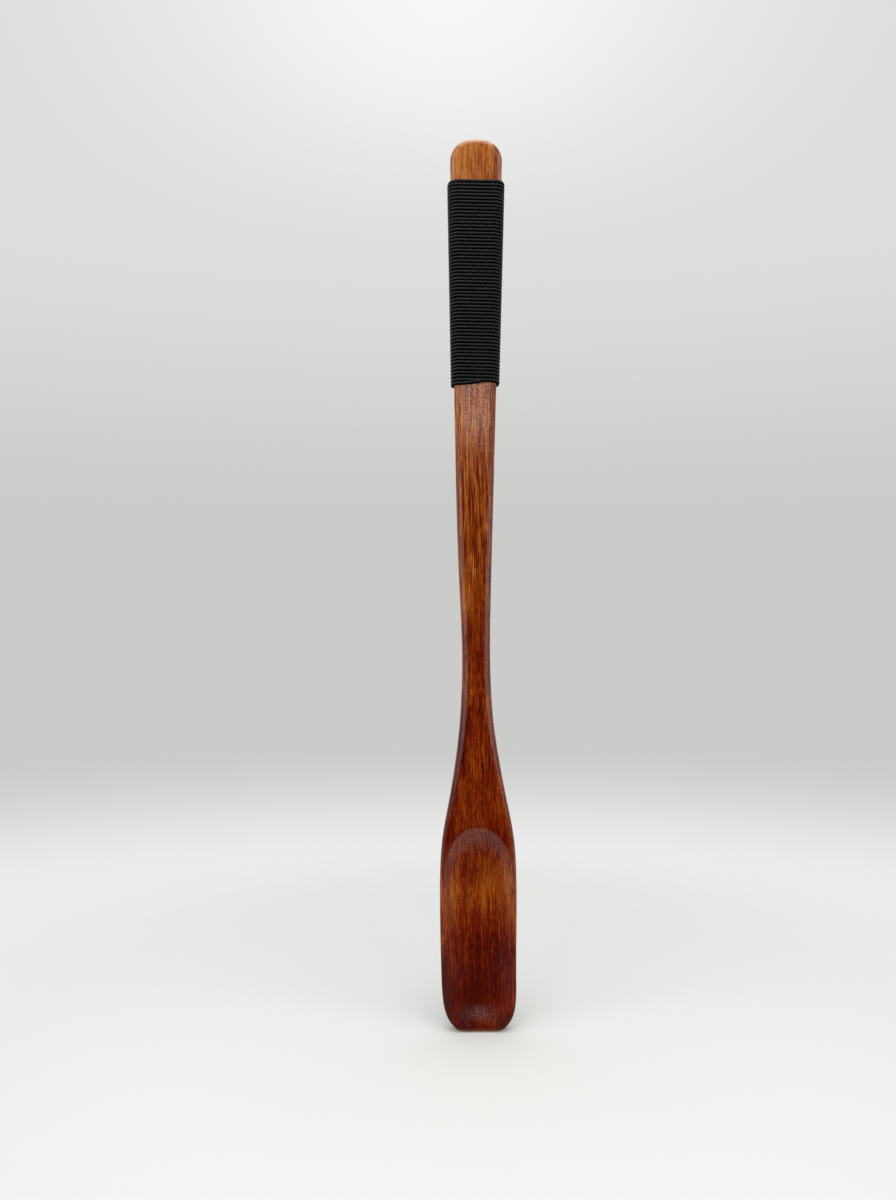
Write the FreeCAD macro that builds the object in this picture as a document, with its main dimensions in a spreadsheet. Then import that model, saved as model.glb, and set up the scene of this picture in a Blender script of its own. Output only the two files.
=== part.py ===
"""A long-handled wooden mixing spoon whose grip is whipped with black cord.

The spoon is upright: +Z runs from the tip of the bowl to the end of the handle, the hollow faces
-Y, and the origin is where a hand holds it, in the middle of its winding.  Heights are measured
up from the tip, and each finished piece is lowered to the origin.  Two real pieces make the
object: the spoon, carved from one piece of wood, and the cord wound round its grip.  Sizes are
millimetres.
"""
import FreeCAD, Part

import math
import os

import Sketcher

V = FreeCAD.Vector
SHEET = "sizes"
CORD_SIDES = 6
GRIP_MIDDLE = "(grip_foot_height + grip_bare + spoon_length - pommel_bare) / 2"

# Driving dimensions.  Each name becomes the alias of a spreadsheet cell.
SIZES = {
    # whole spoon
    "spoon_length": 260.0,
    "blank_depth": 24.0,             # block that the spoon is sawn from
    "saw_margin": 6.0,               # how far a saw cut runs past the block
    # plan outline: half widths and heights of its control polygon, from the tip upwards
    "bowl_half": 11.2,
    "tip_half": 6.5,
    "tip_turn_half": 8.0,
    "tip_turn_height": 1.5,
    "corner_draw": 0.35,             # how much narrower than the bowl the polygon is here
    "corner_height": 4.5,
    "low_draw": 0.3,
    "low_height": 16.0,
    "widest_height": 30.0,
    "shoulder_swell": 0.2,
    "shoulder_top_height": 54.0,
    "shoulder_half": 8.4,
    "shoulder_height": 66.0,
    "throat_half": 5.1,
    "throat_height": 86.0,
    "neck_low_half": 4.3,
    "neck_low_height": 98.0,
    "neck_half": 3.9,
    "neck_height": 112.0,
    "shank_half": 5.09,
    "grip_foot_half": 6.05,
    "grip_foot_height": 182.0,
    "grip_lead": 17.0,               # stretch of shank that already runs in line with the grip
    "pommel_half": 7.75,
    # sideways drift of the outline's middle, as a hand-cut handle has it
    "tip_drift": 0.42,
    "shoulder_drift": 0.1,
    "throat_drift": -0.25,
    "neck_drift": -0.35,
    "shank_drift": -0.78,
    "grip_foot_drift": -0.5,
    # corners of the outline
    "pommel_corner": 6.2,
    "tip_corner": 4.0,
    # front face, measured forwards from the datum plane
    "rim_tip_front": 4.2,
    "rim_top_front": 3.3,
    "rim_top_height": 62.0,
    "rim_lead": 12.0,
    "neck_front": 2.2,
    # back face, measured backwards from the datum plane
    "tip_back": 0.9,
    "heel_back": 2.5,
    "heel_height": 5.0,
    "bowl_low_back": 3.4,
    "bowl_low_back_height": 18.0,
    "bowl_back": 3.6,
    "bowl_back_height": 40.0,
    "shoulder_back": 3.3,
    "shoulder_back_height": 64.0,
    "neck_back": 2.5,
    "crown_centre_tip": 18.0,        # the axis that the back is turned about leans off the spoon
    "crown_centre_pommel": 62.0,
    # straight grip, its thickness shared evenly about the datum plane
    "profile_lead": 6.0,             # how far the faces run straight below the grip's foot
    "profile_foot_thick": 6.14,
    "pommel_thick": 7.0,
    # rounded edges
    "front_round": 1.8,
    "back_round": 1.5,
    "front_round_share": 0.45,       # most of the thinnest wood that each rounded edge may take
    "back_round_share": 0.33,
    "pommel_corner_share": 0.9,      # most of the pommel's half width that a corner may take
    # hollow of the bowl
    "hollow_deep": 3.8,
    "rim_land": 0.8,                 # wood left between the hollow and the outline
    "hollow_top_height": 59.4,
    "hollow_tip_height": 1.0,
    "runout_drop": 5.2,              # height over which the hollow's top keeps its first slope
    "runout_deep": 3.0,
    "floor_top_height": 45.0,
    "floor_middle_height": 26.0,
    "floor_low_height": 15.0,        # from here down the floor ramps up to the lip of the tip
    "floor_low_share": 0.87,         # depths along the ramp, as shares of the hollow's depth
    "ramp_height": 8.5,
    "ramp_share": 0.62,
    "lip_height": 3.8,
    "lip_share": 0.28,
    "hollow_overcut": 1.0,
    # cord
    "cord_diameter": 1.0,
    "cord_gap": 0.02,                # air between the cord and the wood
    "turn_gap": 0.0035,              # air between one turn of the cord and the next
    "grip_bare": 7.5,                # straight grip left bare below the winding
    "pommel_bare": 13.3,             # wood left bare above it
    "cord_tail": 3.8,                # how far left of the middle the cord's end stops, in front
}


# sizes worked out in the sheet from the ones above
WORKED_OUT = {
    "thinnest": "=min(neck_front + neck_back; rim_tip_front + tip_back; profile_foot_thick)",
    "front_radius": "=min(front_round; front_round_share * thinnest)",
    "back_radius": "=min(back_round; back_round_share * thinnest)",
}


def fill_sheet(doc):
    """Write the driving dimensions and the worked-out ones into the spreadsheet."""
    sheet = doc.addObject("Spreadsheet::Sheet", SHEET)
    for row, (alias, value) in enumerate((SIZES | WORKED_OUT).items(), start=1):
        sheet.set(f"A{row}", alias)
        sheet.set(f"B{row}", str(value))
        sheet.setAlias(f"B{row}", alias)
    doc.recompute()
    return sheet


def bound(text):
    """The expression `text` with every alias in it written as a cell of the sheet."""
    return swap_aliases(text, lambda alias: f"<<{SHEET}>>.{alias}")


def worth(sheet, text):
    """The number that the expression `text` gives with the sheet's present values."""
    plain = swap_aliases(text, lambda alias: f"({float(getattr(sheet, alias)):.9f})")
    return FreeCAD.Units.parseQuantity(plain).Value


def swap_aliases(text, written):
    """Replace each alias found in `text` by what `written` makes of it."""
    out, word = [], ""
    for char in text + " ":
        if char.isalnum() or char == "_":
            word += char
            continue
        out.append(written(word) if word in SIZES or word in WORKED_OUT else word)
        out.append(char)
        word = ""
    return "".join(out).strip()


class Drawing:
    """A sketch on one of its body's origin planes, whose points are all placed by expressions."""

    def __init__(self, body, name, plane, sheet):
        self.sheet = sheet
        self.sketch = body.newObject("Sketcher::SketchObject", name)
        support = next(f for f in body.Origin.OriginFeatures if f.Role == plane)
        self.sketch.AttachmentSupport = [(support, "")]
        self.sketch.MapMode = "FlatFace"

    def at(self, point):
        """Where a point given by two expressions lies now."""
        return V(worth(self.sheet, point[0]), worth(self.sheet, point[1]), 0)

    def fix(self, geometry, end, point):
        """Tie one point of the sketch to its two expressions."""
        here = self.at(point)
        for kind, text, value in zip(("DistanceX", "DistanceY"), point, (here.x, here.y)):
            index = self.sketch.addConstraint(Sketcher.Constraint(kind, geometry, end, value))
            self.sketch.setExpression(f"Constraints[{index}]", bound(text))

    def line(self, start, end, construction=False):
        """A straight line between two placed points."""
        index = self.sketch.addGeometry(Part.LineSegment(self.at(start), self.at(end)), construction)
        self.fix(index, 1, start)
        self.fix(index, 2, end)
        return index

    def path(self, points):
        """Straight lines through the points in turn."""
        for start, end in zip(points, points[1:]):
            self.line(start, end)

    def spline(self, poles):
        """A cubic B-spline over a placed control polygon."""
        curve = Part.BSplineCurve()
        curve.buildFromPoles([self.at(pole) for pole in poles], False, 3)
        index = self.sketch.addGeometry(curve, False)
        first = index + 1
        for number, pole in enumerate(poles):
            circle = Part.Circle(self.at(pole), V(0, 0, 1), 1.0)
            handle = self.sketch.addGeometry(circle, True)
            if number == 0:
                self.sketch.addConstraint(Sketcher.Constraint("Weight", handle, 1.0))
            else:
                self.sketch.addConstraint(Sketcher.Constraint("Equal", first, handle))
            self.sketch.addConstraint(Sketcher.Constraint(
                "InternalAlignment:Sketcher::BSplineControlPoint", handle, 3, index, number))
            self.fix(handle, 3, pole)
        return index


def outline_polygon(side):
    """Control polygon of one side of the plan outline, from the tip to the foot of the grip."""
    sign = "+" if side > 0 else "-"
    slope = "(pommel_half - grip_foot_half) / (spoon_length - grip_foot_height)"
    drift = "grip_foot_drift / (spoon_length - grip_foot_height)"
    stations = (
        ("tip_drift", "tip_half", "0"),
        ("tip_drift", "tip_turn_half", "tip_turn_height"),
        ("tip_drift", "(bowl_half - corner_draw)", "corner_height"),
        ("0", "(bowl_half - low_draw)", "low_height"),
        ("0", "bowl_half", "widest_height"),
        ("0", "(bowl_half + shoulder_swell)", "shoulder_top_height"),
        ("shoulder_drift", "shoulder_half", "shoulder_height"),
        ("throat_drift", "throat_half", "throat_height"),
        ("neck_drift", "neck_low_half", "neck_low_height"),
        ("neck_drift", "neck_half", "neck_height"),
        ("shank_drift", "shank_half", "(neck_height + grip_foot_height - grip_lead) / 2"),
        (f"grip_foot_drift + grip_lead * {drift}", f"(grip_foot_half - grip_lead * {slope})",
         "grip_foot_height - grip_lead"),
        ("grip_foot_drift", "grip_foot_half", "grip_foot_height"),
    )
    return [(f"{middle} {sign} {half}", height) for middle, half, height in stations]


def plan_sketch(body, sheet):
    """The spoon's outline seen from the front."""
    plan = Drawing(body, "plan_outline", "XZ_Plane", sheet)
    right, left = outline_polygon(+1), outline_polygon(-1)
    plan.spline(right)
    plan.path([right[-1], ("pommel_half", "spoon_length"), ("-pommel_half", "spoon_length"), left[-1]])
    plan.spline(left)
    plan.line(left[0], right[0])
    return plan.sketch


def grip_side(front):
    """Straight run of a face along the grip, from its foot to past the pommel, as (y, z) texts."""
    sign = "-" if front else ""
    foot = "grip_foot_height - profile_lead"
    slope = f"(pommel_thick - profile_foot_thick) / 2 / (spoon_length - {foot})"
    lead = (f"{sign}(profile_foot_thick / 2 - grip_lead * {slope})", f"{foot} - grip_lead")
    low = (f"{sign}profile_foot_thick / 2", foot)
    high = (f"{sign}(pommel_thick / 2 + saw_margin * {slope})", "spoon_length + saw_margin")
    return lead, low, high


def front_waste_sketch(body, sheet):
    """What the saw takes off in front, seen from the side: rim of the bowl, neck and grip."""
    rim_slope = "(rim_tip_front - rim_top_front) / rim_top_height"
    below_tip = (f"-rim_tip_front - saw_margin * {rim_slope}", "-saw_margin")
    rim_top = ("-rim_top_front", "rim_top_height")
    grip_lead, grip_low, grip_high = grip_side(front=True)
    side = Drawing(body, "front_waste", "YZ_Plane", sheet)
    side.spline([
        rim_top,
        (f"-rim_top_front + rim_lead * {rim_slope}", "rim_top_height + rim_lead"),
        ("-neck_front", "neck_low_height"),
        ("-neck_front", "neck_height"),
        grip_lead,
        grip_low,
    ])
    side.path([
        grip_low,
        grip_high,
        ("-blank_depth", "spoon_length + saw_margin"),
        ("-blank_depth", "-saw_margin"),
        below_tip,
        rim_top,
    ])
    return side.sketch


def back_waste_sketch(body, sheet):
    """What is turned off the back, seen from the side, with the leaning axis it is turned about."""
    tip_slope = "(heel_back - tip_back) / heel_height"
    grip_lead, grip_low, grip_high = grip_side(front=False)
    side = Drawing(body, "back_waste", "YZ_Plane", sheet)
    side.spline([
        ("tip_back", "0"),
        ("heel_back", "heel_height"),
        ("bowl_low_back", "bowl_low_back_height"),
        ("bowl_back", "bowl_back_height"),
        ("shoulder_back", "shoulder_back_height"),
        ("neck_back", "neck_low_height"),
        ("neck_back", "neck_height"),
        grip_lead,
        grip_low,
    ])
    side.path([
        grip_low,
        grip_high,
        ("blank_depth", "spoon_length + saw_margin"),
        ("blank_depth", "-saw_margin"),
        (f"tip_back - saw_margin * {tip_slope}", "-saw_margin"),
        ("tip_back", "0"),
    ])
    side.line(("-crown_centre_tip", "0"), ("-crown_centre_pommel", "spoon_length"), True)
    return side.sketch


def hollow_sketch(body, sheet):
    """The gouge's cut through the bowl, seen from the side, with the axis that it swings about."""
    rim_slope = "(rim_tip_front - rim_top_front) / rim_top_height"
    reach = "((bowl_half - rim_land)^2 - hollow_deep^2) / (2 * hollow_deep)"

    def below_rim(deep, height):
        return (f"-rim_tip_front + ({height}) * {rim_slope} + {deep}", height)

    top = below_rim("0", "hollow_top_height")
    low = below_rim("0", "hollow_tip_height")
    side = Drawing(body, "hollow_cut", "YZ_Plane", sheet)
    side.spline([
        top,
        below_rim("runout_deep", "hollow_top_height - runout_drop"),
        below_rim("hollow_deep", "floor_top_height"),
        below_rim("hollow_deep", "floor_middle_height"),
        below_rim("floor_low_share * hollow_deep", "floor_low_height"),
        below_rim("ramp_share * hollow_deep", "ramp_height"),
        below_rim("lip_share * hollow_deep", "lip_height"),
        low,
    ])
    side.path([
        low,
        below_rim("-hollow_overcut", "hollow_tip_height"),
        below_rim("-hollow_overcut", "hollow_top_height"),
        top,
    ])
    side.line(below_rim(f"-({reach})", "0"), below_rim(f"-({reach})", "rim_top_height"), True)
    return side.sketch


def backwards(face):
    """How far the middle of a face looks backwards: 1 is straight back, -1 straight forwards."""
    left, right, low, high = face.ParameterRange
    return face.normalAt((left + right) / 2, (low + high) / 2).y


def level_edges(shape, height):
    """Names of the edges that run along Y at one height."""
    names = []
    for number, edge in enumerate(shape.Edges, start=1):
        box = edge.BoundBox
        if box.XLength < 1e-6 and box.ZLength < 1e-6 and abs(box.ZMin - height) < 1e-6:
            names.append(f"Edge{number}")
    return names


def rim_edges(shape, looks):
    """Names of the edges between the spoon's side and the faces whose `backwards` satisfies looks."""
    names = []
    for number, edge in enumerate(shape.Edges, start=1):
        turns = [backwards(face) for face in shape.ancestorsOfType(edge, Part.Face)]
        if any(looks(turn) for turn in turns) and any(abs(turn) < 0.3 for turn in turns):
            names.append(f"Edge{number}")
    return names


def spoon_body(doc, sheet):
    """The carved spoon: sawn to plan, sawn in front, turned at the back, rounded and hollowed."""
    body = doc.addObject("PartDesign::Body", "spoon_body")

    block = body.newObject("PartDesign::Pad", "block")
    block.Profile = plan_sketch(body, sheet)
    block.SideType = "Symmetric"
    block.setExpression("Length", bound("blank_depth"))
    doc.recompute()

    pommel = body.newObject("PartDesign::Fillet", "pommel_corners")
    pommel.Base = (block, level_edges(block.Shape, sheet.spoon_length))
    pommel.setExpression("Radius", bound("min(pommel_corner; pommel_corner_share * pommel_half)"))
    doc.recompute()

    tip = body.newObject("PartDesign::Fillet", "tip_corners")
    tip.Base = (pommel, level_edges(pommel.Shape, 0))
    tip.setExpression("Radius", bound("tip_corner"))
    doc.recompute()

    front = body.newObject("PartDesign::Pocket", "sawn_front")
    front.Profile = front_waste_sketch(body, sheet)
    front.SideType = "Symmetric"
    front.setExpression("Length", bound("4 * bowl_half"))
    doc.recompute()

    back_sketch = back_waste_sketch(body, sheet)
    back = body.newObject("PartDesign::Groove", "turned_back")
    back.Profile = back_sketch
    back.ReferenceAxis = (back_sketch, ["Axis0"])
    back.Angle = 180
    back.Midplane = True
    doc.recompute()

    front_edge = body.newObject("PartDesign::Fillet", "front_edge")
    front_edge.Base = (back, rim_edges(back.Shape, lambda turn: turn < -0.5))
    front_edge.setExpression("Radius", bound("front_radius"))
    doc.recompute()

    back_edge = body.newObject("PartDesign::Fillet", "back_edge")
    back_edge.Base = (front_edge, rim_edges(front_edge.Shape, lambda turn: turn > 0.5))
    back_edge.setExpression("Radius", bound("back_radius"))
    doc.recompute()

    gouge_sketch = hollow_sketch(body, sheet)
    hollow = body.newObject("PartDesign::Groove", "hollow")
    hollow.Profile = gouge_sketch
    hollow.ReferenceAxis = (gouge_sketch, ["Axis0"])
    hollow.Angle = 180
    hollow.Midplane = True
    doc.recompute()
    return body


def slide(start, end, share):
    """The value `share` of the way from start to end."""
    return start + (end - start) * share


def tangent_polygon(centre, radius, first, last, count):
    """Corners of the `count` + 1 lines that touch an arc, its ends among them; angles in degrees."""
    step = (last - first) / count
    reach = radius / math.cos(math.radians(step / 2))
    turns = [math.radians(first + step * (number + 0.5)) for number in range(count)]
    return [(centre[0] + reach * math.cos(turn), centre[1] + reach * math.sin(turn)) for turn in turns]


def grip_ring(sheet, height):
    """Corners of one turn of the cord round the grip, seen from above, from the front right."""
    plan = (height - sheet.grip_foot_height) / (sheet.spoon_length - sheet.grip_foot_height)
    half = slide(sheet.grip_foot_half, sheet.pommel_half, plan)
    middle = slide(sheet.grip_foot_drift, 0, plan)
    foot = sheet.grip_foot_height - sheet.profile_lead
    depth = slide(sheet.profile_foot_thick, sheet.pommel_thick,
                  (height - foot) / (sheet.spoon_length - foot)) / 2
    axis = -slide(sheet.crown_centre_tip, sheet.crown_centre_pommel, height / sheet.spoon_length)

    stand_off = sheet.cord_diameter / 2 + sheet.cord_gap
    front = sheet.front_radius
    back = sheet.back_radius
    crown = depth - axis

    def back_corner(side):
        """Centre of a rounded back edge, and how far round the crown it lies."""
        across = middle + side * (half - back)
        away = math.asin(across / (crown - back))
        return (across, axis + (crown - back) * math.cos(away)), math.degrees(away)

    right, right_turn = back_corner(+1)
    left, left_turn = back_corner(-1)
    return (
        tangent_polygon((middle + half - front, front - depth), front + stand_off, -90, 0, 2)
        + tangent_polygon(right, back + stand_off, 0, 90 - right_turn, 2)
        + tangent_polygon((0, axis), crown + stand_off, 90 - right_turn, 90 - left_turn, 2)
        + tangent_polygon(left, back + stand_off, 90 - left_turn, 180, 2)
        + tangent_polygon((middle - half + front, front - depth), front + stand_off, 180, 270, 2)
    )


def cord_route(sheet):
    """Points of the cord, from its start at the winding's top left, down to its end in front."""
    pitch = sheet.cord_diameter + sheet.turn_gap
    top = sheet.spoon_length - sheet.pommel_bare - sheet.cord_diameter / 2
    foot = sheet.grip_foot_height + sheet.grip_bare
    turns = int((top + sheet.cord_diameter / 2 - foot) / pitch)
    points = []
    for turn in range(turns + 1):
        height = top - pitch * turn
        ring = grip_ring(sheet, height)
        loop = [ring[-1]] + ring
        steps = [math.dist(start, end) for start, end in zip(loop, loop[1:])]
        gone = 0
        if turn == 0:
            points.append(V(*ring[-1], height))
        if turn == turns:
            end = -sheet.cord_tail
            share = (end - ring[-1][0]) / sum(steps)
            points.append(V(end, ring[-1][1], height - pitch * share))
            break
        for (across, away), step in zip(ring, steps):
            gone += step
            points.append(V(across, away, height - pitch * gone / sum(steps)))
    return points


def cord_winding(doc, sheet):
    """The cord wound round the grip: a many-sided section swept along its whole route.

    The section lies inside the cord's round one, because it turns slowly on its way down.
    """
    points = cord_route(sheet)
    route = doc.addObject("Part::Feature", "cord_route")
    route.Shape = Part.makePolygon(points)

    start, along = points[0], (points[1] - points[0]).normalize()
    outwards = along.cross(V(0, 0, 1)).normalize()
    up = outwards.cross(along)
    reach = sheet.cord_diameter / 2
    turns = [2 * math.pi * number / CORD_SIDES for number in range(CORD_SIDES + 1)]
    section = doc.addObject("Part::Feature", "cord_section")
    section.Shape = Part.makePolygon([
        start + outwards * reach * math.cos(turn) + up * reach * math.sin(turn) for turn in turns])

    winding = doc.addObject("Part::Sweep", "cord_winding")
    winding.Sections = [section]
    winding.Spine = route
    winding.Solid = True
    winding.Frenet = False
    winding.Transition = "Right corner"
    doc.recompute()

    area = CORD_SIDES * reach ** 2 * math.sin(2 * math.pi / CORD_SIDES) / 2
    print(f"cord {route.Shape.Length:.0f} long, volume {winding.Shape.Volume:.1f},",
          f"section times length {area * route.Shape.Length:.1f}")
    return winding


def main():
    """Build both pieces, check them and write one file for each."""
    doc = FreeCAD.newDocument("mixing_spoon")
    sheet = fill_sheet(doc)
    pieces = [spoon_body(doc, sheet), cord_winding(doc, sheet)]
    for piece, label in zip(pieces, ("spoon_body", "cord_winding")):
        piece.Label = label
        piece.setExpression(".Placement.Base.z", bound(f"-{GRIP_MIDDLE}"))
    doc.recompute()

    failed = [item.Name for item in doc.Objects if {"Invalid", "Error"} & set(item.State)]
    if failed:
        raise RuntimeError(f"failed to build: {', '.join(failed)}")
    for piece in pieces:
        if piece.Shape.isNull() or not piece.Shape.isValid():
            raise RuntimeError(f"{piece.Label} has no sound shape")
    os.makedirs("parts", exist_ok=True)
    for piece in pieces:
        piece.Shape.exportStep(f"parts/{piece.Label}.step")
        print(piece.Label, f"{piece.Shape.Volume:.1f} mm3", len(piece.Shape.Solids), "solid")


main()
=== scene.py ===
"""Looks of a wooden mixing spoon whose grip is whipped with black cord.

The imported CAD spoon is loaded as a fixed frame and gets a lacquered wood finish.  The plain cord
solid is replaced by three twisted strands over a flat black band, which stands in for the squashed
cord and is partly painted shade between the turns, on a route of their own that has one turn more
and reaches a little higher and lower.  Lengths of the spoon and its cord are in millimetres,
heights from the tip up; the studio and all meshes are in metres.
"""

import logging
import math
from dataclasses import dataclass, field
from enum import Enum

import bmesh
import bpy
from mathutils import Matrix, Vector
from mathutils.kdtree import KDTree


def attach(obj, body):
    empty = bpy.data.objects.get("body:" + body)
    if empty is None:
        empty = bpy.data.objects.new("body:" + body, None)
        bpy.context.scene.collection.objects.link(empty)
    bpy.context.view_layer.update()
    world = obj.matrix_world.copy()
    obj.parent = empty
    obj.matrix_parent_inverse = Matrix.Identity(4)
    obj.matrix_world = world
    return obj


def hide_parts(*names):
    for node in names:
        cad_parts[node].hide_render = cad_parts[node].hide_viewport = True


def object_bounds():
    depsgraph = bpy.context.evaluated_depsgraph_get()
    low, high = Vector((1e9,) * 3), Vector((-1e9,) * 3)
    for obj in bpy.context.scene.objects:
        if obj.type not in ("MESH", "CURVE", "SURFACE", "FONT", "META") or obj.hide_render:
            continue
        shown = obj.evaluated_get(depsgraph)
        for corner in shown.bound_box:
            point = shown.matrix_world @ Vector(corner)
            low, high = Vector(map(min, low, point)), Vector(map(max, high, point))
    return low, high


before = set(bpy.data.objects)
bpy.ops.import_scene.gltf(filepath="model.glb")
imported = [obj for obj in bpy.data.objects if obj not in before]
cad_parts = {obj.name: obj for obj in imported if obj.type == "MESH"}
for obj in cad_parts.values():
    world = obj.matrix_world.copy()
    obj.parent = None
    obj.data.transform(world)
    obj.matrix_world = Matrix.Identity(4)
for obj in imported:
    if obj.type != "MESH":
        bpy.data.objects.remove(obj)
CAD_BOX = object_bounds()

MM = 0.001
CREST = "crest"
log = logging.getLogger("spoon")
Colour = tuple | bpy.types.NodeSocket


def linear(red: int, green: int, blue: int) -> tuple[float, float, float, float]:
    """Linear colour of a display colour given in 0-255 steps.

    Args:
        red: Red step.
        green: Green step.
        blue: Blue step.

    Returns:
        Linear red, green and blue with an alpha of 1.
    """
    steps = [step / 255 for step in (red, green, blue)]
    lit = [s / 12.92 if s <= 0.04045 else ((s + 0.055) / 1.055) ** 2.4 for s in steps]
    return (*lit, 1.0)


def slide(low: float, high: float, share: float) -> float:
    """Value a share of the way from low to high.

    Args:
        low: Value at a share of 0.
        high: Value at a share of 1.
        share: The share.

    Returns:
        The value between them.
    """
    return low + (high - low) * share


class Twist(Enum):
    """Which way the strands of a cord turn."""

    S = -1
    Z = 1


class Value:
    """A number socket that does arithmetic by adding Math nodes."""

    def __init__(self, nodes: "Nodes", socket: bpy.types.NodeSocket) -> None:
        """Wraps a socket of a node tree."""
        self.nodes = nodes
        self.socket = socket

    def _math(self, operation: str, *terms: "Value | float") -> "Value":
        """Adds one Math node.

        Args:
            operation: The node's operation.
            terms: Its inputs in order.

        Returns:
            The node's result.
        """
        inputs = dict(enumerate(terms))
        node = self.nodes.node("ShaderNodeMath", {"operation": operation}, inputs)
        return Value(self.nodes, node.outputs[0])

    def __add__(self, other: "Value | float") -> "Value":
        """Sum."""
        return self._math("ADD", self, other)

    __radd__ = __add__

    def __mul__(self, other: "Value | float") -> "Value":
        """Product."""
        return self._math("MULTIPLY", self, other)

    __rmul__ = __mul__

    def __sub__(self, other: "Value | float") -> "Value":
        """Difference."""
        return self._math("SUBTRACT", self, other)

    def __rsub__(self, other: float) -> "Value":
        """Difference from a number."""
        return self._math("SUBTRACT", other, self)

    def __truediv__(self, other: "Value | float") -> "Value":
        """Quotient."""
        return self._math("DIVIDE", self, other)

    def __pow__(self, other: float) -> "Value":
        """Power."""
        return self._math("POWER", self, other)

    def larger(self, other: "Value | float") -> "Value":
        """The larger of the two.

        Args:
            other: Value to compare with.

        Returns:
            The larger value.
        """
        return self._math("MAXIMUM", self, other)

    def size(self) -> "Value":
        """Distance from 0."""
        return self._math("ABSOLUTE", self)

    def ease(self, start: float, end: float) -> "Value":
        """Smooth step of the value.

        Args:
            start: Value that gives 0.
            end: Value that gives 1; it may be below start.

        Returns:
            A mask from 0 to 1.
        """
        flip = end < start
        low, high = (end, start) if flip else (start, end)
        node = self.nodes.node(
            "ShaderNodeMapRange",
            {"interpolation_type": "SMOOTHSTEP", "clamp": True},
            {"Value": self, "From Min": low, "From Max": high},
        )
        step = Value(self.nodes, node.outputs["Result"])
        return 1 - step if flip else step


class Nodes:
    """A node tree under construction."""

    def __init__(self, tree: bpy.types.NodeTree) -> None:
        """Starts an empty tree.

        Args:
            tree: Node tree of a material or a world.
        """
        self.tree = tree
        tree.nodes.clear()

    def node(
        self, kind: str, settings: dict | None = None, inputs: dict | None = None
    ) -> bpy.types.Node:
        """Adds a node, the one way that any node is made.

        Args:
            kind: The node's type.
            settings: Its settings; "stops" lists a ramp's (position, colour) pairs.
            inputs: Values or links of its sockets, by name or number.

        Returns:
            The new node.
        """
        made = self.tree.nodes.new(kind)
        for name, value in (settings or {}).items():
            if name == "stops":
                stops = made.color_ramp.elements
                stops.remove(stops[1])
                stops[0].position, stops[0].color = value[0]
                for position, colour in value[1:]:
                    stops.new(position).color = colour
            else:
                setattr(made, name, value)
        for key, value in (inputs or {}).items():
            socket = made.inputs[key]
            if isinstance(value, Value):
                self.tree.links.new(value.socket, socket)
            elif isinstance(value, bpy.types.NodeSocket):
                self.tree.links.new(value, socket)
            else:
                socket.default_value = value
        return made

    def mix(self, share: Value | float, low: Colour, high: Colour) -> bpy.types.NodeSocket:
        """Mixes two colours.

        Args:
            share: Mask that brings in the second colour.
            low: First colour.
            high: Second colour.

        Returns:
            The mixed colour's socket.
        """
        settings = {"data_type": "RGBA", "clamp_factor": True}
        made = self.node("ShaderNodeMix", settings, {0: share, 6: low, 7: high})
        return made.outputs[2]

    def noise(
        self, place: bpy.types.NodeSocket, scale: tuple[float, float, float], **inputs: float
    ) -> Value:
        """Noise stretched along the axes.

        Args:
            place: Vector socket in millimetres.
            scale: Waves per millimetre along each axis.
            inputs: Other sockets of the noise node, such as Detail.

        Returns:
            The noise, about 0.5.
        """
        settings = {"operation": "MULTIPLY"}
        stretched = self.node("ShaderNodeVectorMath", settings, {0: place, 1: scale})
        wanted = {"Vector": stretched.outputs[0], "Scale": 1.0}
        wanted.update({name.replace("_", " ").title(): v for name, v in inputs.items()})
        made = self.node("ShaderNodeTexNoise", {"noise_dimensions": "3D"}, wanted)
        return Value(self, made.outputs["Fac"])

    def by_height(self, share: Value, stops: tuple) -> Value:
        """Value that changes with height.

        Args:
            share: Height as a share of the spoon's length.
            stops: Pairs of share and value.

        Returns:
            The value.
        """
        greys = [(at, (value, value, value, 1.0)) for at, value in stops]
        ramp = self.node("ShaderNodeValToRGB", {"stops": greys}, {"Fac": share})
        return Value(self, ramp.outputs["Color"])

    def place_mm(self, tip: float) -> tuple:
        """Object coordinates in millimetres with height measured from the tip.

        Args:
            tip: Height of the tip in the row frame, in metres.

        Returns:
            The vector socket, and its x, y and z.
        """
        where = self.node("ShaderNodeTexCoord").outputs["Object"]
        settings = {"operation": "MULTIPLY_ADD"}
        inputs = {0: where, 1: (1000,) * 3, 2: (0, 0, -tip * 1000)}
        place = self.node("ShaderNodeVectorMath", settings, inputs).outputs[0]
        split = self.node("ShaderNodeSeparateXYZ", None, {0: place})
        return place, *(Value(self, out) for out in split.outputs)


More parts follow.
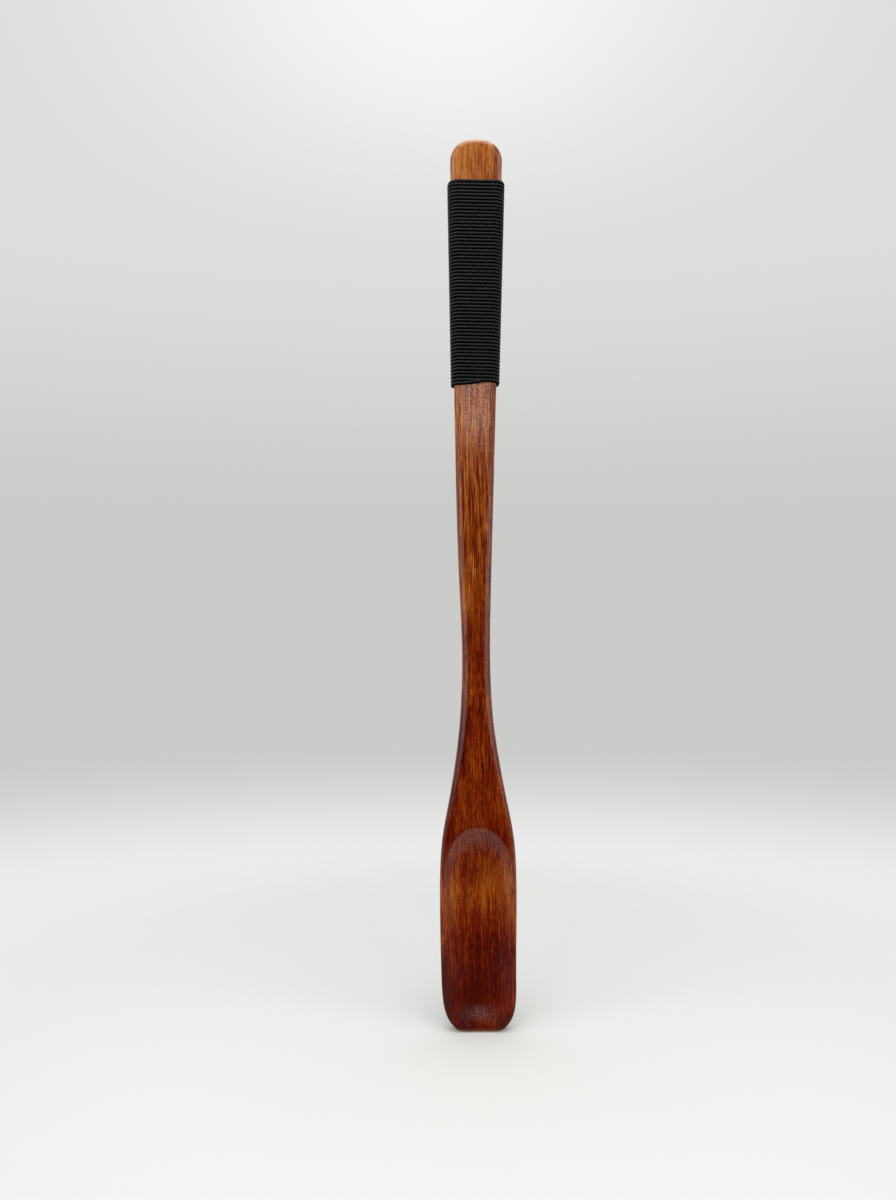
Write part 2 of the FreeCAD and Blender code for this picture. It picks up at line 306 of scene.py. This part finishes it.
@dataclass(frozen=True)
class LacqueredWood:
    """Clear gloss lacquer over reddish-brown wood whose grain runs up the spoon."""

    name: str = "lacquered_wood"
    heart: tuple = linear(64, 8, 1)
    red: tuple = linear(108, 24, 2)
    amber: tuple = linear(150, 72, 8)
    honey: tuple = linear(196, 122, 58)
    vessel: tuple = linear(56, 10, 2)
    coat_roughness: float = 0.12
    # painted reflection: a pale, speckled patch of reflected light painted on the slope at the end
    # of the bowl's hollow
    painted_reflection: tuple = linear(122, 98, 94)
    reflection_height: float = 5.2
    reflection_middle: float = 0.5
    reflection_size: tuple = (4.2, 2.7)
    reflection_share: float = 0.42
    reflection_even: float = 0.15
    reflection_fine: float = 0.5
    reflection_range: tuple = (0.6, 0.9)
    reflection_edge: tuple = (1.15, 0.2)
    # darker band down the middle of the bowl that widens towards the tip, and the golden flame
    # above it
    band_top: float = 36.0
    band_low: float = 9.5
    band_half: float = 4.6
    band_middle: float = 1.2
    band_darkening: float = 0.08
    band_start: float = 2.0
    band_edge: tuple = (-0.5, 0.9)
    band_sway: float = 2.0
    flame_gain: float = 0.2
    flame_end: tuple = (14.0, 4.0)
    flame_width: tuple = (0.75, 0.2)
    # noise steps per millimetre across, through and along the spoon
    sway_steps: tuple = (0.10, 0.10, 0.028)
    broad_steps: tuple = (0.30, 0.16, 0.060)
    streak_steps: tuple = (2.9, 0.9, 0.10)
    fine_steps: tuple = (4.6, 1.4, 0.50)
    vessel_steps: tuple = (6.0, 2.0, 0.40)
    speckle_steps: tuple = (2.3, 2.3, 1.7)
    peel_steps: tuple = (2.6, 2.6, 1.4)
    # how far the grain sways across and through the wood, and the noise that counts as a vessel
    sway_reach: tuple = (3.0, 2.0)
    vessel_range: tuple = (0.56, 0.72)
    # how strongly each of them shows, the streaks more on the handle
    broad_gain: float = 1.2
    streak_gain: float = 1.5
    handle_streak_gain: float = 1.7
    fine_gain: float = 1.3
    vessel_share: float = 0.5
    # heights in millimetres between which a change comes in
    handle_grain: tuple = (90.0, 170.0)
    handle_lean: tuple = (110.0, 160.0)
    handle_glare: tuple = (120.0, 170.0)
    shade_start: tuple = (46.0, 62.0)
    shade_end: tuple = (104.0, 84.0)
    # painted sheen up both walls of the bowl's hollow
    sheen_high: tuple = (52.0, 24.0)
    sheen_low: tuple = (11.0, 36.0)
    # painted highlight along the bottom edge of the tip
    tip_highlight: tuple = (1.5, 0.7)
    # distances across between which a change comes in; the shade lies on the left only
    shade_side: tuple = (-1.5, -7.0)
    sheen_width: tuple = (4.0, 10.0)
    glare_width: tuple = (6.5, 1.5)
    # strength of those changes
    bowl_lean: float = 0.006
    handle_lean_gain: float = 0.020
    shade_gain: float = 0.12
    sheen_gain: float = 0.30
    tip_highlight_share: float = 0.2
    glare_dabs: float = 0.7
    even_dabs: float = 0.1
    dab_range: tuple = (0.38, 0.62)
    # surface under the lacquer, with the depth of its relief in metres
    roughness: float = 0.5
    roughness_swing: float = 0.25
    specular: float = 0.03
    relief: float = 0.35
    relief_depth: float = 0.00006
    fine_relief: float = 0.8
    vessel_relief: float = 0.5
    # how golden the wood must be for each colour to take over
    red_from: tuple = (0.0, 0.36)
    amber_from: tuple = (0.30, 0.74)
    honey_from: tuple = (0.72, 1.18)
    # how golden the wood is at each height, as shares of the spoon's length
    tone: tuple = (
        (0.0, 0.0),
        (0.09, 0.14),
        (0.125, 0.31),
        (0.155, 0.52),
        (0.19, 0.40),
        (0.215, 0.26),
        (0.24, 0.36),
        (0.275, 0.40),
        (0.34, 0.27),
        (0.40, 0.36),
        (0.485, 0.55),
        (0.575, 0.50),
        (0.66, 0.68),
        (0.74, 0.76),
        (0.965, 0.78),
        (1.0, 1.0),
    )
    # how much lacquer is left, which use has dulled towards the tip
    gloss: tuple = (
        (0.0, 0.15),
        (0.11, 0.20),
        (0.16, 0.50),
        (0.20, 0.72),
        (0.25, 0.66),
        (0.36, 0.95),
        (0.52, 0.95),
        (0.62, 0.66),
        (0.72, 0.66),
        (0.95, 1.0),
    )

    def make(self, tip: float, length: float) -> bpy.types.Material:
        """Builds the material.

        Args:
            tip: Height of the spoon's tip in the row frame, in metres.
            length: Spoon's length in millimetres.

        Returns:
            The material.
        """
        material = bpy.data.materials.new(self.name)
        material.use_nodes = True
        n = Nodes(material.node_tree)
        place, x, y, z = n.place_mm(tip)

        sway = n.noise(place, self.sway_steps, detail=2.0) - 0.5
        sway_across, sway_through = (sway * reach for reach in self.sway_reach)
        swayed = {0: x + sway_across, 1: y + sway_through, 2: z}
        bent = n.node("ShaderNodeCombineXYZ", None, swayed).outputs[0]
        broad = n.noise(bent, self.broad_steps, detail=3.0, roughness=0.6)
        streak = n.noise(bent, self.streak_steps, detail=5.0, roughness=0.65)
        fine = n.noise(bent, self.fine_steps, detail=3.0, roughness=0.7)
        vessels = n.noise(bent, self.vessel_steps, detail=2.0).ease(*self.vessel_range)
        speckle = n.noise(place, self.speckle_steps, detail=3.0)
        tone = n.by_height(z / length, self.tone)
        gloss = n.by_height(z / length, self.gloss)
        drawn = self.streak_gain + z.ease(*self.handle_grain) * self.handle_streak_gain
        drawn = (streak - 0.5) * drawn
        grain = (broad - 0.5) * self.broad_gain + drawn + (fine - 0.5) * self.fine_gain
        middle = (x - self.band_middle + sway * self.band_sway).size()
        spread = z.ease(self.band_top, self.band_low) * self.band_half
        dark_band = (spread - middle).ease(*self.band_edge)
        dark_band = dark_band * z.ease(self.band_start, self.band_low)
        flame = middle.ease(*self.flame_width) * z.ease(self.band_low, self.band_top)
        flame = flame * z.ease(*(self.band_top + above for above in self.flame_end))
        golden = tone + grain - dark_band * self.band_darkening + flame * self.flame_gain
        shaded = x.ease(*self.shade_side) * z.ease(*self.shade_start) * z.ease(*self.shade_end)
        lean = x * (self.bowl_lean - z.ease(*self.handle_lean) * self.handle_lean_gain)
        # painted sheen: both walls of the hollow, between 11 and 52 mm up, are painted more golden
        # where they reflect the lamps
        painted_sheen = middle.ease(*self.sheen_width)
        painted_sheen = painted_sheen * z.ease(*self.sheen_high) * z.ease(*self.sheen_low)
        golden = golden + lean - shaded * self.shade_gain + painted_sheen * self.sheen_gain

        colour = n.mix(golden.ease(*self.red_from), self.heart, self.red)
        colour = n.mix(golden.ease(*self.amber_from), colour, self.amber)
        colour = n.mix(golden.ease(*self.honey_from), colour, self.honey)
        colour = n.mix(vessels * self.vessel_share, colour, self.vessel)
        # painted reflection: the pale speckled patch low in the hollow, painted into the wood's
        # colour
        across, up = self.reflection_size
        aside, above = (x - self.reflection_middle) / across, (z - self.reflection_height) / up
        reflection_mask = (aside * aside + above * above) ** 0.5
        spotted = (speckle + fine * self.reflection_fine).ease(*self.reflection_range)
        spotted = spotted * (1 - self.reflection_even)
        reflection_mask = reflection_mask.ease(*self.reflection_edge) * (self.reflection_even + spotted)
        colour = n.mix(reflection_mask * self.reflection_share, colour, self.painted_reflection)
        # painted highlight: the lowest 1.5 mm of the tip is painted honey, where its rounded edge
        # catches the light
        colour = n.mix(z.ease(*self.tip_highlight) * self.tip_highlight_share, colour, self.honey)

        glare = x.size().ease(*self.glare_width) * z.ease(*self.handle_glare)
        dabs = speckle.ease(*self.dab_range) - 0.5
        dabs = dabs * (self.even_dabs + glare * self.glare_dabs)
        peel = n.noise(place, self.peel_steps, detail=2.0)
        high = peel + fine * self.fine_relief - vessels * self.vessel_relief
        relief = {"Strength": self.relief, "Distance": self.relief_depth, "Height": high}
        bump = n.node("ShaderNodeBump", None, relief)
        shader = n.node(
            "ShaderNodeBsdfPrincipled",
            None,
            {
                "Base Color": colour,
                "Roughness": self.roughness + (fine - 0.5) * self.roughness_swing,
                "Specular IOR Level": self.specular,
                "Coat Weight": gloss + dabs,
                "Coat Roughness": self.coat_roughness,
                "Normal": bump.outputs[0],
            },
        )
        n.node("ShaderNodeOutputMaterial", None, {"Surface": shader.outputs[0]})
        return material


@dataclass(frozen=True)
class WaxedCord:
    """Waxed black yarn, glossy on its crests and matte between the turns."""

    name: str = "black_cord"
    deep: tuple = linear(1, 1, 1)
    worn: tuple = linear(8, 11, 12)
    # distance out from the cord's middle, in millimetres
    matte_below: float = 0.20
    polished_above: float = 0.46
    wax_roughness: float = 0.22
    wax: float = 0.70
    wax_swing: float = 1.5
    # how rubbed the cord must be to look worn, and how much of that is the yarn's own
    rubbed_range: tuple = (0.42, 0.66)
    yarn_share: float = 0.6
    # surface under the wax, with the depth of its relief in metres
    roughness: float = 0.8
    roughness_swing: float = 0.2
    specular: float = 0.02
    relief: float = 0.8
    relief_depth: float = 0.00008
    # noise steps per millimetre across, through and along the spoon
    yarn_steps: tuple = (3.4, 3.4, 9.0)
    wear_steps: tuple = (0.7, 0.7, 1.3)

    def make(self, tip: float) -> bpy.types.Material:
        """Builds the material.

        Args:
            tip: Height of the spoon's tip in the row frame, in metres.

        Returns:
            The material.
        """
        material = bpy.data.materials.new(self.name)
        material.use_nodes = True
        n = Nodes(material.node_tree)
        place, *_ = n.place_mm(tip)
        yarn = n.noise(place, self.yarn_steps, detail=2.0)
        wear = n.noise(place, self.wear_steps, detail=3.0)
        crest = Value(n, n.node("ShaderNodeAttribute", {"attribute_name": CREST}).outputs["Fac"])
        polish = crest.ease(self.matte_below, self.polished_above)
        rubbed = yarn * self.yarn_share + wear * (1 - self.yarn_share)
        rubbed = rubbed.ease(*self.rubbed_range) * polish
        colour = n.mix(rubbed, self.deep, self.worn)
        relief = {"Strength": self.relief, "Distance": self.relief_depth, "Height": yarn}
        bump = n.node("ShaderNodeBump", None, relief)
        shader = n.node(
            "ShaderNodeBsdfPrincipled",
            None,
            {
                "Base Color": colour,
                "Roughness": self.roughness + (wear - 0.5) * self.roughness_swing,
                "Specular IOR Level": self.specular,
                "Coat Weight": polish * (self.wax + (yarn - 0.5) * self.wax_swing),
                "Coat Roughness": self.wax_roughness,
                "Normal": bump.outputs[0],
            },
        )
        n.node("ShaderNodeOutputMaterial", None, {"Surface": shader.outputs[0]})
        return material


@dataclass
class CarvedSpoon:
    """The spoon itself, carved from one piece of wood."""

    node: str = "spoon_body"
    finish: LacqueredWood = field(default_factory=LacqueredWood)

    def dress(self, tip: float, length: float) -> bpy.types.Object:
        """Gives the CAD spoon its wood.

        Args:
            tip: Height of the tip in the row frame, in metres.
            length: Spoon's length in millimetres.

        Returns:
            The CAD node's object.
        """
        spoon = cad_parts[self.node]
        spoon.material_slots[0].link = "OBJECT"
        spoon.material_slots[0].material = self.finish.make(tip, length)
        return spoon


@dataclass
class CordWhipping:
    """One three-strand cord, wound closely round the grip from the top down."""

    node: str = "cord_winding"
    # the cord, and the air round it
    diameter: float = 1.0
    gap: float = 0.02
    turn_gap: float = 0.0095
    # bare wood above the winding and between its foot and the grip's
    pommel_bare: float = 12.3
    grip_bare: float = 6.9
    # the wood under it, as the CAD has it
    spoon_length: float = 260.0
    grip_foot_height: float = 182.0
    grip_foot_half: float = 6.05
    grip_foot_drift: float = -0.5
    pommel_half: float = 7.75
    profile_lead: float = 6.0
    profile_foot_thick: float = 6.14
    pommel_thick: float = 7.0
    crown_centre_tip: float = 18.0
    crown_centre_pommel: float = 62.0
    front_round: float = 1.8
    back_round: float = 1.5
    # the two ends, which run into a neighbouring turn so that they look tucked under it
    tail: float = 3.8
    tail_end: float = 1.6
    tail_tuck: float = 0.8
    tuck: float = 0.55
    start_lead: int = 4
    # how far the turns stray, and the radians by which that changes with the turn and round it
    unevenness: float = 0.035
    stray_turn: float = 2.4
    stray_round: float = 3.1
    swell_turn: float = 0.9
    swell_start: float = 1.7
    # three strands twisted about the middle, with one twist in each lay
    strands: int = 3
    strand_radius: float = 0.29
    strand_reach: float = 0.185
    lay: float = 3.6
    step: float = 0.28
    twist: Twist = Twist.Z
    # flat black band behind them that lets no light through; it stands in for the squashed cord,
    # and is partly painted shade that keeps the gaps between the turns dark
    shade_band_half: float = 0.49
    shade_band_thick: float = 0.05
    shade_band_sunk: float = 0.34
    shade_band_thinning: int = 2
    finish: WaxedCord = field(default_factory=WaxedCord)

    @staticmethod
    def corner(centre: tuple, radius: float, start: float, end: float, count: int) -> list:
        """Corners of the polygon that touches a round edge from outside.

        Args:
            centre: Centre of the round, across and away.
            radius: Radius of the cord's middle round it.
            start: Direction of the edge's start, in degrees.
            end: Direction of its end.
            count: Number of corners.

        Returns:
            The corners as (across, away).
        """
        step = math.radians(end - start) / count
        reach = radius / math.cos(step / 2)
        turns = [math.radians(start) + step * (i + 0.5) for i in range(count)]
        return [(centre[0] + reach * math.cos(a), centre[1] + reach * math.sin(a)) for a in turns]

    def ring(self, height: float) -> list:
        """Control points of one turn seen from above, from the front right.

        Args:
            height: Height of the turn above the tip.

        Returns:
            The points as (across, away), with one near each end of a long run.
        """
        plan = (height - self.grip_foot_height) / (self.spoon_length - self.grip_foot_height)
        half = slide(self.grip_foot_half, self.pommel_half, plan)
        middle = slide(self.grip_foot_drift, 0, plan)
        foot = self.grip_foot_height - self.profile_lead
        rise = (height - foot) / (self.spoon_length - foot)
        depth = slide(self.profile_foot_thick, self.pommel_thick, rise) / 2
        centre_share = height / self.spoon_length
        axis = -slide(self.crown_centre_tip, self.crown_centre_pommel, centre_share)
        stand_off = self.diameter / 2 + self.gap
        crown = depth - axis
        front, back = self.front_round, self.back_round

        def back_corner(side: int) -> tuple:
            """Centre of a rounded back edge and its direction round the crown.

            Args:
                side: +1 for the right edge, -1 for the left one.

            Returns:
                The centre, across and away, and the direction in degrees.
            """
            across = middle + side * (half - back)
            away = math.asin(across / (crown - back))
            return (across, axis + (crown - back) * math.cos(away)), math.degrees(away)

        right, right_turn = back_corner(+1)
        left, left_turn = back_corner(-1)
        front_away = front - depth
        points = (
            self.corner((middle + half - front, front_away), front + stand_off, -90, 0, 2)
            + self.corner(right, back + stand_off, 0, 90 - right_turn, 2)
            + self.corner((0, axis), crown + stand_off, 90 - right_turn, 90 - left_turn, 2)
            + self.corner(left, back + stand_off, 90 - left_turn, 180, 2)
            + self.corner((middle - half + front, front_away), front + stand_off, 180, 270, 2)
        )
        near = math.dist(points[0], points[1])
        first, last = points[0], points[-1]
        return [(first[0] - near, first[1]), *points, (last[0] + near, last[1])]

    def tucked_start(self, loop: list, height: float) -> list[Vector]:
        """Points that bring the start of the cord up out of the turn below, round the left side.

        Args:
            loop: Points of the first turn, as (across, away).
            height: Height of the turn.

        Returns:
            The points, in order.
        """
        led = loop[-self.start_lead - 1 :]
        drop = self.tuck * self.diameter
        shares = [index / self.start_lead for index in range(len(led))]
        return [Vector((*at, height - drop * (1 - share))) for at, share in zip(led, shares)]

    def route(self) -> list[Vector]:
        """Control points of the whole cord, top left first.

        Returns:
            The points in millimetres, measured from the tip.
        """
        pitch = self.diameter + self.turn_gap
        top = self.spoon_length - self.pommel_bare - self.diameter / 2
        foot = self.grip_foot_height + self.grip_bare
        turns = int((top + self.diameter / 2 - foot) / pitch)
        points: list[Vector] = []
        for turn in range(turns + 1):
            height = top - pitch * turn
            ring = self.ring(height)
            loop = [ring[-1], *ring]
            steps = [math.dist(a, b) for a, b in zip(loop, loop[1:])]
            gone = 0.0
            if turn == 0:
                points += self.tucked_start(loop, height)
            if turn == turns:
                for at, tucked in ((-self.tail, 0.0), (self.tail_end, self.tail_tuck)):
                    share = (at - ring[-1][0]) / sum(steps) - tucked
                    points.append(Vector((at, ring[-1][1], height - pitch * share)))
                break
            for (across, away), step in zip(ring, steps):
                gone += step
                share = gone / sum(steps)
                stray = math.sin(self.stray_turn * turn + self.stray_round * share)
                swell = math.sin(self.swell_turn * turn + self.swell_start)
                stray *= self.unevenness * swell if 0 < turn < turns - 1 else 0.0
                points.append(Vector((across, away, height - pitch * share + stray)))
        return points

    def centreline(self, tip: float) -> list[Vector]:
        """Points read from the route's smooth NURBS spline.

        Args:
            tip: Height of the tip in the row frame, in metres.

        Returns:
            Points in the row frame, in metres.
        """
        control = self.route()
        data = bpy.data.curves.new("cord_route", "CURVE")
        data.dimensions = "3D"
        data.resolution_u = 16
        spline = data.splines.new("NURBS")
        spline.points.add(len(control) - 1)
        for point, place in zip(spline.points, control):
            point.co = (*(place * MM + Vector((0, 0, tip))), 1.0)
        spline.order_u = 3
        spline.use_endpoint_u = True
        helper = bpy.data.objects.new("cord_route", data)
        bpy.context.scene.collection.objects.link(helper)
        bpy.context.view_layer.update()
        mesh = bpy.data.meshes.new_from_object(helper)
        points = [v.co.copy() for v in mesh.vertices]
        bpy.data.objects.remove(helper)
        bpy.data.meshes.remove(mesh)
        bpy.data.curves.remove(data)
        return points

    def even(self, line: list[Vector]) -> list[Vector]:
        """The same line with its points a fixed step apart, so that every strand is as fine.

        Args:
            line: Points read from the spline, in metres.

        Returns:
            Evenly spaced points on that line.
        """
        step = self.step * MM
        spaced, wanted, gone = [line[0].copy()], step, 0.0
        for start, end in zip(line, line[1:]):
            run = (end - start).length
            while run and gone + run >= wanted:
                spaced.append(start.lerp(end, (wanted - gone) / run))
                wanted += step
            gone += run
        return spaced

    def sunk(self, line: list[Vector]) -> list[Vector]:
        """The line moved in towards the wood, where the flat black band lies that is partly
        painted shade.

        Args:
            line: The cord's centreline.

        Returns:
            The black band's line.
        """
        pairs = zip(line, self.inward(line))
        return [place + inward * self.shade_band_sunk * MM for place, inward in pairs]

    @staticmethod
    def inward(line: list[Vector]) -> list[Vector]:
        """Direction towards the wood at each point of a line round the grip.

        Args:
            line: The line, wound as the cord is.

        Returns:
            One direction of length 1 per point.
        """
        ahead, behind = line[1:] + line[-1:], line[:1] + line[:-1]
        return [Vector((0, 0, 1)).cross(b - a).normalized() for a, b in zip(behind, ahead)]

    def mark_crests(self, piece: bpy.types.Object, line: list[Vector]) -> None:
        """Notes how far out of the cord's middle each point of a strand lies.

        Args:
            piece: The strand.
            line: The cord's centreline, with a point for each ring of the strand.
        """
        mesh = piece.data
        towards = self.inward(line)
        lookup = KDTree(len(line))
        for index, place in enumerate(line):
            lookup.insert(place, index)
        lookup.balance()
        crest = mesh.attributes.new(CREST, "FLOAT", "POINT")
        for vertex, mark in zip(mesh.vertices, crest.data):
            place, index, _ = lookup.find(vertex.co)
            mark.value = (place - vertex.co).dot(towards[index]) / MM

    def strand_paths(self, line: list[Vector]) -> list[list[Vector]]:
        """Paths of the strands twisted about the cord's middle.

        Args:
            line: The cord's centreline.

        Returns:
            One path per strand.
        """
        out = self.strand_reach * MM
        across = Vector((0, 0, 1))
        gone = 0.0
        paths: list[list[Vector]] = [[] for _ in range(self.strands)]
        for index, place in enumerate(line):
            before = line[max(index - 1, 0)]
            after = line[min(index + 1, len(line) - 1)]
            along = (after - before).normalized()
            across = (across - along * across.dot(along)).normalized()
            other = along.cross(across)
            gone += (place - before).length
            turn = self.twist.value * math.tau * gone / (self.lay * MM)
            for number, path in enumerate(paths):
                angle = turn + math.tau * number / self.strands
                path.append(place + (across * math.cos(angle) + other * math.sin(angle)) * out)
        return paths

    def yarn(
        self, name: str, path: list[Vector], radius: float, half: float = 0.0
    ) -> bpy.types.Object:
        """One yarn as a closed tube, round or flattened into a band that stands upright.

        Args:
            name: Name of the piece.
            path: Points of its middle, in metres.
            radius: Radius in millimetres, or half a band's thickness.
            half: Half the height of a band.

        Returns:
            The yarn's object.
        """
        data = bpy.data.curves.new(name, "CURVE")
        data.dimensions = "3D"
        data.twist_mode = "Z_UP" if half else "MINIMUM"
        data.extrude = half * MM
        data.bevel_depth = radius * MM
        data.bevel_resolution = 0 if half else 2
        data.use_fill_caps = True
        spline = data.splines.new("POLY")
        spline.points.add(len(path) - 1)
        for point, place in zip(spline.points, path):
            point.co = (*place, 1.0)
        helper = bpy.data.objects.new(name + "_line", data)
        bpy.context.scene.collection.objects.link(helper)
        bpy.context.view_layer.update()
        mesh = bpy.data.meshes.new_from_object(helper)
        bpy.data.objects.remove(helper)
        bpy.data.curves.remove(data)
        shape = bmesh.new()
        shape.from_mesh(mesh)
        bmesh.ops.remove_doubles(shape, verts=shape.verts, dist=1e-7)
        bmesh.ops.recalc_face_normals(shape, faces=shape.faces)
        for face in shape.faces:
            face.smooth = len(face.verts) == 4
        shape.to_mesh(mesh)
        shape.free()
        piece = bpy.data.objects.new(name, mesh)
        bpy.context.scene.collection.objects.link(piece)
        return piece

    def build(self, tip: float) -> list[bpy.types.Object]:
        """Builds and dresses the black band, partly painted shade between the turns, and the
        strands.

        Args:
            tip: Height of the tip in the row frame, in metres.

        Returns:
            The black band's object and the strands', the band first.
        """
        material = self.finish.make(tip)
        line = self.centreline(tip)
        length = sum((b - a).length for a, b in zip(line, line[1:]))
        log.info("cord: %.1f mm long, %d points", length / MM, len(line))
        line = self.even(line)
        # the black band is partly painted shade: it keeps the gaps between the turns dark where
        # the wood would show
        heart = self.sunk(line[:: self.shade_band_thinning])
        pieces = [self.yarn("cord_heart", heart, self.shade_band_thick, self.shade_band_half)]
        for number, path in enumerate(self.strand_paths(line), 1):
            pieces.append(self.yarn(f"cord_strand_{number}", path, self.strand_radius))
            self.mark_crests(pieces[-1], line)
        for piece in pieces:
            piece.data.materials.clear()
            piece.data.materials.append(material)
            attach(piece, "root")
        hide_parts(self.node)
        return pieces


@dataclass(frozen=True)
class SoftBox:
    """One soft box, with its place measured from the tip and its size in metres."""

    name: str
    place: tuple
    size: tuple
    power: float
    tint: tuple = (1.0, 1.0, 1.0)


@dataclass
class Studio:
    """Pale floor, soft lamps and a pale room."""

    floor_radius: float = 0.20
    floor_fade: float = 0.12
    floor_front: float = 0.075
    floor_front_full: float = 0.4
    floor_colour: tuple = linear(235, 236, 235)
    wall_low: tuple = linear(203, 204, 201)
    wall_high: tuple = linear(246, 247, 244)
    wall_edge: tuple = linear(220, 222, 219)
    room_dark: tuple = linear(18, 15, 14)
    fill: float = 0.50
    # heights and directions, as parts of a unit sphere round the spoon, where the wall changes
    wall_rise: tuple = (0.08, 0.36)
    glow_rise: tuple = (0.34, 0.56)
    glow_width: float = 0.45
    floor_line: tuple = (-0.155, -0.275)
    front_dark: tuple = (-0.78, -0.20)
    # height in metres above the tip at which the lamps aim
    aim_height: float = 0.13
    boxes: tuple = (
        SoftBox("front_box", (0.0, -0.75, 0.415), (0.30, 0.25), 0.95, (1.0, 0.92, 0.80)),
        SoftBox("top_box", (0.0, -0.50, 0.90), (0.60, 0.45), 1.7),
        SoftBox("over_box", (0.0, 0.0, 0.95), (0.60, 0.60), 2.8),
        SoftBox("left_box", (-0.46, -0.44, 0.36), (0.62, 0.68), 2.0),
        SoftBox("right_box", (0.46, -0.44, 0.36), (0.62, 0.68), 2.0),
    )

    def floor(self, tip: float) -> bpy.types.Object:
        """Round floor that fades out into the backdrop.

        Args:
            tip: Height of the tip in the row frame, in metres.

        Returns:
            The floor's object.
        """
        material = bpy.data.materials.new("pale_floor")
        material.use_nodes = True
        n = Nodes(material.node_tree)
        _, x, y, _ = n.place_mm(tip)
        far = (x * x + y * y) ** 0.5
        seen = far.ease(self.floor_radius / MM, (self.floor_radius - self.floor_fade) / MM)
        rays = n.node("ShaderNodeLightPath").outputs
        front = -self.floor_front / MM
        forward = y.ease(front, front * self.floor_front_full)
        seen = seen * (1 - Value(n, rays["Is Glossy Ray"]) * (1 - forward))
        paint = n.node(
            "ShaderNodeBsdfPrincipled",
            None,
            {
                "Base Color": self.floor_colour,
                "Roughness": 0.9,
                "Specular IOR Level": 0.1,
                "Alpha": seen,
            },
        )
        n.node("ShaderNodeOutputMaterial", None, {"Surface": paint.outputs[0]})
        shape = bmesh.new()
        place = Matrix.Translation((0, 0, tip))
        bmesh.ops.create_circle(
            shape, cap_ends=True, segments=96, radius=self.floor_radius, matrix=place
        )
        mesh = bpy.data.meshes.new("floor")
        shape.to_mesh(mesh)
        shape.free()
        mesh.materials.append(material)
        floor = bpy.data.objects.new("floor", mesh)
        bpy.context.scene.collection.objects.link(floor)
        return floor

    def room(self) -> None:
        """Pale room behind the spoon that is darker towards the front, as gloss sees it."""
        world = bpy.data.worlds.new("room")
        bpy.context.scene.world = world
        world.use_nodes = True
        n = Nodes(world.node_tree)
        where = n.node("ShaderNodeTexCoord").outputs["Generated"]
        split = n.node("ShaderNodeSeparateXYZ", None, {0: where})
        across, away, up = (Value(n, out) for out in split.outputs)
        wall = n.mix(up.ease(*self.wall_rise), self.wall_low, self.wall_edge)
        glow = up.ease(*self.glow_rise) * across.size().ease(self.glow_width, 0.0)
        wall = n.mix(glow, wall, self.wall_high)
        wall = n.mix(up.ease(*self.floor_line), wall, self.floor_colour)
        behind = away.ease(*self.front_dark)
        glossy = n.mix(behind, self.room_dark, wall)
        rays = n.node("ShaderNodeLightPath").outputs
        camera = Value(n, rays["Is Camera Ray"])
        pale = camera.larger(Value(n, rays["Is Transmission Ray"]))
        seen = camera.larger(Value(n, rays["Is Glossy Ray"]))
        colour = n.mix(pale, glossy, wall)
        strength = self.fill + seen * (1 - self.fill)
        back = n.node("ShaderNodeBackground", None, {"Color": colour, "Strength": strength})
        n.node("ShaderNodeOutputWorld", None, {"Surface": back.outputs[0]})

    def lamp(self, box: SoftBox, tip: float) -> None:
        """Lights one soft box, turned to the middle of the spoon.

        Args:
            box: The soft box.
            tip: Height of the tip in the row frame, in metres.
        """
        data = bpy.data.lights.new(box.name, "AREA")
        data.shape = "RECTANGLE"
        data.size, data.size_y = box.size
        data.energy = box.power
        data.color = box.tint
        lamp = bpy.data.objects.new(box.name, data)
        across, away, above = box.place
        lamp.location = (across, away, tip + above)
        aim = Vector((0, 0, tip + self.aim_height)) - Vector(lamp.location)
        lamp.rotation_euler = aim.to_track_quat("-Z", "Y").to_euler()
        bpy.context.scene.collection.objects.link(lamp)

    def build(self, tip: float) -> None:
        """Builds the floor, the room and the lamps.

        Args:
            tip: Height of the tip in the row frame, in metres.
        """
        self.floor(tip)
        self.room()
        for box in self.boxes:
            self.lamp(box, tip)


@dataclass
class Viewpoint:
    """The camera, straight in front of the spoon and a little to its left."""

    # place in millimetres from the tip
    across: float = -8.6
    away: float = -265.3
    height: float = 125.6
    # focal length in millimetres, roll in degrees
    lens: float = 27.04
    roll: float = 0.166

    def build(self, tip: float) -> None:
        """Makes the camera.

        Args:
            tip: Height of the tip in the row frame, in metres.
        """
        data = bpy.data.cameras.new("camera")
        data.sensor_width = 36.0
        data.lens = self.lens
        data.clip_start = 0.01
        camera = bpy.data.objects.new("camera", data)
        camera.location = (self.across * MM, self.away * MM, tip + self.height * MM)
        camera.rotation_euler = (math.radians(90), math.radians(self.roll), 0)
        bpy.context.scene.collection.objects.link(camera)
        bpy.context.scene.camera = camera


def main() -> None:
    """Builds the spoon's looks, the studio and the camera, in order."""
    logging.basicConfig(level=logging.INFO, format="%(name)s: %(message)s")
    bpy.context.scene.view_settings.view_transform = "Standard"
    low, high = CAD_BOX
    tip = low.z
    length = (high.z - low.z) / MM
    spoon = CarvedSpoon().dress(tip, length)
    log.info("%s: %d faces, dressed in wood", spoon.name, len(spoon.data.polygons))
    for piece in CordWhipping().build(tip):
        log.info("%s: %d faces", piece.name, len(piece.data.polygons))
    Studio().build(tip)
    Viewpoint().build(tip)
    log.info("studio, camera and sizes are ready")


if __name__ == "__main__":
    main()
